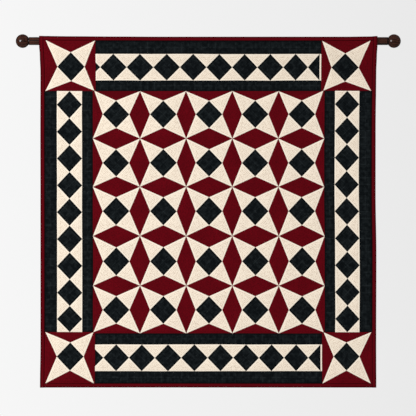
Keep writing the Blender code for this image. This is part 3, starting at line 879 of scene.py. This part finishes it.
class Finish:
    """A material's nodes, with short calls for the few kinds that the cloths and the wood use."""

    def __init__(self, name, roughness, gloss=0.5):
        self.material = bpy.data.materials.new(name)
        self.material.use_nodes = True
        self.tree = self.material.node_tree
        self.shader = self.tree.nodes["Principled BSDF"]
        self.shader.inputs["Roughness"].default_value = roughness
        self.shader.inputs["Specular IOR Level"].default_value = gloss

    def feed(self, socket, value):
        if isinstance(value, bpy.types.NodeSocket):
            self.tree.links.new(value, socket)
        else:
            socket.default_value = value

    def node(self, kind, **settings):
        made = self.tree.nodes.new(kind)
        for name, value in settings.items():
            setattr(made, name, value)
        return made

    def maths(self, operation, *values):
        made = self.node("ShaderNodeMath", operation=operation)
        for socket, value in zip(made.inputs, values):
            self.feed(socket, value)
        return made.outputs[0]

    def eased(self, value, low, high, start=0.0, stop=1.0):
        made = self.node("ShaderNodeMapRange", interpolation_type="SMOOTHSTEP")
        names = ("Value", "From Min", "From Max", "To Min", "To Max")
        for name, one in zip(names, (value, low, high, start, stop)):
            self.feed(made.inputs[name], one)
        return made.outputs[0]

    def mixed(self, share, first, second):
        """A mix of two colours, which the node takes at inputs 6 and 7 and gives at output 2."""
        made = self.node("ShaderNodeMix", data_type="RGBA")
        self.feed(made.inputs[0], share)
        self.feed(made.inputs[6], first)
        self.feed(made.inputs[7], second)
        return made.outputs[2]

    def pair(self, x, y, z=0.0):
        made = self.node("ShaderNodeCombineXYZ")
        for socket, value in zip(made.inputs, (x, y, z)):
            self.feed(socket, value)
        return made.outputs[0]

    def parts(self, vector):
        made = self.node("ShaderNodeSeparateXYZ")
        self.feed(made.inputs[0], vector)
        return made.outputs[0], made.outputs[1]

    def clouds(self, vector, scale, detail=2.0):
        made = self.node("ShaderNodeTexNoise")
        self.feed(made.inputs["Vector"], vector)
        made.inputs["Scale"].default_value = scale
        made.inputs["Detail"].default_value = detail
        return made.outputs[0]

    def uv(self, name):
        return self.parts(self.node("ShaderNodeUVMap", uv_map=name).outputs[0])

    def here(self):
        return self.node("ShaderNodeTexCoord").outputs["Object"]

    def bumped(self, height, distance, strength=1.0, under=None):
        made = self.node("ShaderNodeBump")
        made.inputs["Strength"].default_value = strength
        made.inputs["Distance"].default_value = distance
        self.feed(made.inputs["Height"], height)
        if under is not None:
            self.feed(made.inputs["Normal"], under)
        return made.outputs[0]

    def done(self, colour, normal):
        self.feed(self.shader.inputs["Base Color"], colour)
        self.feed(self.shader.inputs["Normal"], normal)
        return self.material


def shade(colour, share):
    """A colour made darker or lighter by a share, with its alpha."""
    return (colour[0] * share, colour[1] * share, colour[2] * share, 1.0)


def to_nearest(finish, place, pitch):
    """Distance from a place to the nearest of lines a pitch apart, one of them through the middle."""
    turns = finish.maths("DIVIDE", place, pitch)
    off = finish.maths("SUBTRACT", turns, finish.maths("ROUND", turns))
    return finish.maths("MULTIPLY", finish.maths("ABSOLUTE", off), pitch)


def woven(finish, x, y, under):
    """Plain weave over a larger relief: rows of threads that pass over and under each other in turn."""
    across = finish.maths("SINE", finish.maths("MULTIPLY", x, math.pi / WEAVE_PITCH))
    along = finish.maths("SINE", finish.maths("MULTIPLY", y, math.pi / WEAVE_PITCH))
    height = finish.maths("ABSOLUTE", finish.maths("ADD", across, along))
    return finish.bumped(height, WEAVE_RELIEF, WEAVE_STRENGTH, under)


def slubs(finish, x, y):
    """Uneven threads: thin streaks along both ways of the grain, from 0 to 1."""
    streaks = []
    for scale_x, scale_y in (STREAK_SCALES, STREAK_SCALES[::-1]):
        drawn = finish.pair(finish.maths("MULTIPLY", x, scale_x), finish.maths("MULTIPLY", y, scale_y))
        streaks.append(finish.clouds(drawn, 1.0))
    return finish.maths("MULTIPLY", finish.maths("ADD", *streaks), 0.5)


def cotton(finish, colour, x, y, streaks, clouds):
    """Cotton's own colour, with streaks along its threads and soft cloudy patches."""
    thread = finish.eased(slubs(finish, x, y), *NOISE_SPAN)
    streaked = finish.mixed(thread, shade(colour, 1 - streaks), shade(colour, 1 + streaks))
    cloud = finish.eased(finish.clouds(finish.here(), CLOUD_SCALE, detail=3.0), *NOISE_SPAN)
    return finish.mixed(finish.maths("MULTIPLY", cloud, clouds), streaked, shade(colour, CLOUD_SHADE))


def patch_cotton(name, colour, rim, line_colour, line_share, streaks, clouds, check=None):
    """Cloth of a patch: its seam's ditch with painted shade in it, a smooth rim, and lines of quilting that
    echo its seams inside.
    """
    finish = Finish(name, CLOTH_ROUGHNESS, CLOTH_GLOSS)
    maths, eased = finish.maths, finish.eased
    x, y = finish.uv("grain")
    along, inside = finish.uv("stitch")
    base = cotton(finish, colour, x, y, streaks, clouds)
    if check:
        base = check(finish, base, x, y)
    on_rim = eased(inside, *RIM_SPAN, 1.0, 0.0)
    base = finish.mixed(maths("MULTIPLY", on_rim, RIM_SHARE), base, rim)
    from_line = to_nearest(finish, maths("SUBTRACT", inside, QUILTING_INSET), ECHO_PITCH)
    inner = eased(inside, *QUILTED_SPAN)
    groove = maths("MULTIPLY", eased(from_line, 0.0, GROOVE_REACH, 1.0, 0.0), inner)
    ditch = eased(inside, 0.0, DITCH_REACH, 1.0, 0.0)
    turn = maths("FRACT", maths("DIVIDE", along, STITCH_LENGTH))
    dash = eased(maths("ABSOLUTE", maths("SUBTRACT", turn, 0.5)), *STITCH_SPAN, 1.0, 0.0)
    speck = eased(finish.clouds(finish.here(), SPECK_SCALE), *SPECK_SPAN)
    broken = maths("ADD", maths("MULTIPLY", speck, SPECK_SHARE), maths("MULTIPLY", dash, 1 - SPECK_SHARE))
    inked = maths("MULTIPLY", maths("MULTIPLY", groove, broken), line_share)
    base = finish.mixed(inked, base, line_colour)
    # Painted shade along the seam's ditch
    base = finish.mixed(maths("MULTIPLY", ditch, DITCH_SHADE_SHARE), base, shade(colour, DITCH_SHADE))
    drawn_in = maths("ADD", GROOVE_DIP, maths("MULTIPLY", dash, STITCH_DIP))
    dip = maths("ADD", maths("MULTIPLY", groove, drawn_in), ditch)
    ruck = finish.pair(maths("MULTIPLY", along, PUCKERS_ALONG), maths("MULTIPLY", inside, PUCKERS_INWARD))
    pucker = finish.clouds(ruck, 1.0, detail=1.0)
    near_seam = eased(inside, 0.0, PUCKER_REACH, 1.0, PUCKER_LEFT)
    puckered = maths("MULTIPLY", maths("MULTIPLY", pucker, near_seam), PUCKER_SHARE)
    quilted = finish.bumped(maths("SUBTRACT", puckered, dip), CLOTH_RELIEF, QUILTED_STRENGTH)
    return finish.done(base, woven(finish, x, y, quilted))


def windowpane(finish, base, x, y):
    """The dark cloth's faint check: fine lines close together and a stronger line at every sixth."""
    lines = None
    for place in (x, y):
        fine, strong = [
            finish.eased(to_nearest(finish, place, pitch), core, edge, strength, 0.0)
            for pitch, core, edge, strength in (FINE_LINES, STRONG_LINES)]
        both = finish.maths("MAXIMUM", fine, strong)
        lines = both if lines is None else finish.maths("ADD", lines, both)
    worn = finish.eased(finish.clouds(finish.here(), CHECK_WEAR_SCALE, detail=3.0), *CHECK_WEAR)
    share = finish.maths("MULTIPLY", finish.maths("MINIMUM", lines, 1.0), worn)
    return finish.mixed(finish.maths("MULTIPLY", share, CHECK_SHARE), base, CHECK_LINE)


def creased(finish, x, y, creases):
    """The relief of cloth without quilting: soft creases, and the weave over them."""
    scale, strength = creases
    soft = finish.clouds(finish.here(), scale)
    return woven(finish, x, y, finish.bumped(soft, CLOTH_RELIEF, strength))


def plain_cotton(name, colour, streaks, clouds):
    """Cloth with no patchwork on it: the backing and the pocket."""
    finish = Finish(name, CLOTH_ROUGHNESS, CLOTH_GLOSS)
    x, y = finish.uv("grain")
    base = cotton(finish, colour, x, y, streaks, clouds)
    return finish.done(base, creased(finish, x, y, BACKING_CREASES))


def binding_cotton(name, colour, streaks, clouds):
    """The binding's cloth, with shade painted darker where it turns round the edge and where its lip is sewn
    down.
    """
    finish = Finish(name, CLOTH_ROUGHNESS, CLOTH_GLOSS)
    x, y = finish.uv("grain")
    base = cotton(finish, colour, x, y, streaks, clouds)
    from_fold = finish.maths("ABSOLUTE", y)
    lip = BINDING_CLOTH_WIDTH / 2
    # Painted shade in the groove at the sewn lip and on the fold round the edge
    sewn = finish.eased(from_fold, lip - LIP_SHADE_SPAN[0], lip - LIP_SHADE_SPAN[1])
    turned_in = finish.eased(from_fold, *FOLD_SHADE_SPAN, 1.0, 0.0)
    shaded = finish.maths("MAXIMUM", sewn, finish.maths("MULTIPLY", turned_in, FOLD_SHADE_SHARE))
    shaded = finish.maths("MULTIPLY", shaded, BINDING_SHADING)
    base = finish.mixed(shaded, base, shade(colour, BINDING_SHADE))
    return finish.done(base, creased(finish, x, y, BINDING_CREASES))


def stained_wood(name):
    """Dark stained wood under a clear varnish, its grain along the rod, with painted shade where it turns
    away from the view.
    """
    finish = Finish(name, WOOD_ROUGHNESS, WOOD_GLOSS)
    finish.shader.inputs["Coat Weight"].default_value = VARNISH_WEIGHT
    finish.shader.inputs["Coat Roughness"].default_value = VARNISH_ROUGHNESS
    mapping = finish.node("ShaderNodeMapping")
    finish.feed(mapping.inputs["Vector"], finish.here())
    mapping.inputs["Scale"].default_value = GRAIN_SCALE
    streaks = finish.clouds(mapping.outputs[0], 1.0, detail=4.0)
    broad = finish.clouds(finish.here(), BROAD_GRAIN_SCALE)
    base = finish.mixed(finish.eased(streaks, *GRAIN_SPAN), WOOD_DARK, WOOD_LIGHT)
    base = finish.mixed(finish.maths("MULTIPLY", broad, BROAD_GRAIN_SHARE), base, WOOD_DARK)
    along = finish.maths("ABSOLUTE", finish.parts(finish.here())[0])
    from_joint = finish.maths("ABSOLUTE", finish.maths("SUBTRACT", along, ROD_HALF_LENGTH))
    base = finish.mixed(finish.eased(from_joint, *JOINT_STAIN), base, shade(WOOD_DARK, JOINT_SHADE))
    # Painted shade on the rims of the rod and balls, by how far the surface turns from the view
    facing = finish.node("ShaderNodeLayerWeight").outputs["Facing"]
    base = finish.mixed(finish.eased(facing, *PAINTED_EDGE_SHADE_SPAN), base, shade(WOOD_DARK, PAINTED_EDGE_SHADE))
    return finish.done(base, finish.bumped(streaks, GRAIN_RELIEF, GRAIN_STRENGTH))


# Stage

KEY_PLACE = (-2.0, -1.9, 0.1)
KEY_AIM = (0.0, 0.0, -0.5)
KEY_SIZE = 1.0
KEY_POWER = 32.0
# Tones of the backdrop left and right, of the soft light from below and above, and of what shine mirrors
BACKDROP_TONES = (0.925, 0.818)
BACKDROP_REACH = 0.074
FILL_TONES = (0.26, 1.18)
FILL_REACH = 0.7
MIRRORED_TONE = 0.05
FLOOR_ROUGHNESS = 0.9
FLOOR_TONE = (0.62, 0.62, 0.62, 1.0)
FLOOR_MIRRORED = (0.06, 0.06, 0.06, 1.0)
FLOOR_RADIUS = 2.5
FLOOR_SIDES = 96
FLOOR_MIDDLE_Y = -0.6


def camera():
    """The photo's level view from in front of the quilt's middle."""
    seen = bpy.data.cameras.new("camera")
    seen.sensor_width = SENSOR
    seen.lens = SENSOR * (CAMERA_DISTANCE - SHEET_IN_FRONT) / (FRAME_PIXELS * PIXEL)
    made = bpy.data.objects.new("camera", seen)
    across = (FRAME_PIXELS / 2 - ROD_MIDDLE_PIXEL_X) * PIXEL
    up = (ROD_AXIS_PIXEL_Y - FRAME_PIXELS / 2) * PIXEL
    made.location = (across, -CAMERA_DISTANCE, up)
    made.rotation_euler = (math.radians(90), 0.0, 0.0)
    bpy.context.scene.collection.objects.link(made)
    bpy.context.scene.camera = made


def lights():
    """A pale room, which is the backdrop and the soft light, and one soft key light."""
    world = bpy.data.worlds.new("pale room")
    bpy.context.scene.world = world
    world.use_nodes = True
    tree = world.node_tree
    room = tree.nodes["Background"]
    room.inputs["Color"].default_value = (1.0, 1.0, 1.0, 1.0)
    rays = tree.nodes.new("ShaderNodeLightPath")
    fill = tree.nodes.new("ShaderNodeMix")
    seen = tree.nodes.new("ShaderNodeMix")
    # A mix of two tones takes its share at input 0 and the tones at inputs 2 and 3
    fill.inputs[3].default_value = MIRRORED_TONE
    way = tree.nodes.new("ShaderNodeSeparateXYZ")
    tree.links.new(tree.nodes.new("ShaderNodeTexCoord").outputs["Generated"], way.inputs[0])
    for axis, reach, tones, target in ((0, BACKDROP_REACH, BACKDROP_TONES, seen.inputs[3]),
                                       (2, FILL_REACH, FILL_TONES, fill.inputs[2])):
        graded = tree.nodes.new("ShaderNodeMapRange")
        for name, value in zip(("From Min", "From Max", "To Min", "To Max"), (-reach, reach, *tones)):
            graded.inputs[name].default_value = value
        tree.links.new(way.outputs[axis], graded.inputs["Value"])
        tree.links.new(graded.outputs[0], target)
    tree.links.new(rays.outputs["Is Glossy Ray"], fill.inputs[0])
    tree.links.new(rays.outputs["Is Camera Ray"], seen.inputs[0])
    tree.links.new(fill.outputs[0], seen.inputs[2])
    tree.links.new(seen.outputs[0], room.inputs["Strength"])
    soft = bpy.data.lights.new("key", "AREA")
    soft.size = KEY_SIZE
    soft.energy = KEY_POWER
    key_light = bpy.data.objects.new("key", soft)
    key_light.location = KEY_PLACE
    aim = Vector(KEY_AIM) - Vector(KEY_PLACE)
    key_light.rotation_euler = aim.to_track_quat("-Z", "Y").to_euler()
    bpy.context.scene.collection.objects.link(key_light)


def floor():
    made = bmesh.new()
    bmesh.ops.create_circle(made, cap_ends=True, segments=FLOOR_SIDES, radius=FLOOR_RADIUS)
    bmesh.ops.translate(made, vec=(0.0, FLOOR_MIDDLE_Y, -FLOOR_BELOW_ROD), verts=made.verts[:])
    finish = Finish("pale floor", FLOOR_ROUGHNESS)
    rays = finish.node("ShaderNodeLightPath")
    tone = finish.mixed(rays.outputs["Is Glossy Ray"], FLOOR_TONE, FLOOR_MIRRORED)
    finish.feed(finish.shader.inputs["Base Color"], tone)
    as_object("floor", made, (finish.material,))


def dress(piece, slot, *nodes):
    """Makes a piece ride on the object and stand for its solids, whose parts it hides. Its slot is not used.
    """
    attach(piece, "root")
    if nodes:
        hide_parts(*nodes)
    return piece


PATCHES = [Patch(cloth, outline) for cloth, outline in quilt_patches()]


def main():
    bpy.context.scene.view_settings.view_transform = "Standard"
    cream = patch_cotton(
        "cream cotton", CREAM, CREAM_RIM, CREAM_LINE, line_share=0.90, streaks=0.05, clouds=0.14)
    red = patch_cotton(
        "deep red cotton", RED, RED_RIM, RED_LINE, line_share=0.90, streaks=0.20, clouds=0.50)
    dark = patch_cotton(
        "checked dark cotton", DARK, DARK_RIM, DARK_LINE, line_share=0.40, streaks=0.15, clouds=0.25,
        check=windowpane)
    backing = plain_cotton("muslin backing", MUSLIN, streaks=0.03, clouds=0.12)
    folded = binding_cotton("binding cotton", BINDING_RED, streaks=0.10, clouds=0.30)
    wood = stained_wood("dark stained wood")
    nodes = ("binding_left", "binding_right", "binding_top", "binding_bottom")
    strips = [dress(strip, "binding_cotton", node) for strip, node in zip(bindings(folded), nodes)]
    pocket, pocket_length = rod_pocket(backing)
    dress(pocket, "quilted_cotton")
    rod = turned("rod_turned", eased_rod_profile(), wood)
    dress(rod, "dark_wood", "rod")
    for side, node in ((-1, "finial_left"), (1, "finial_right")):
        dress(turned(f"{node}_turned", ball_profile(side), wood), "dark_wood", node)
    quilt = dress(quilt_sheet((cream, red, dark), backing), "quilted_cotton", "quilt")
    floor()
    lights()
    camera()


main()
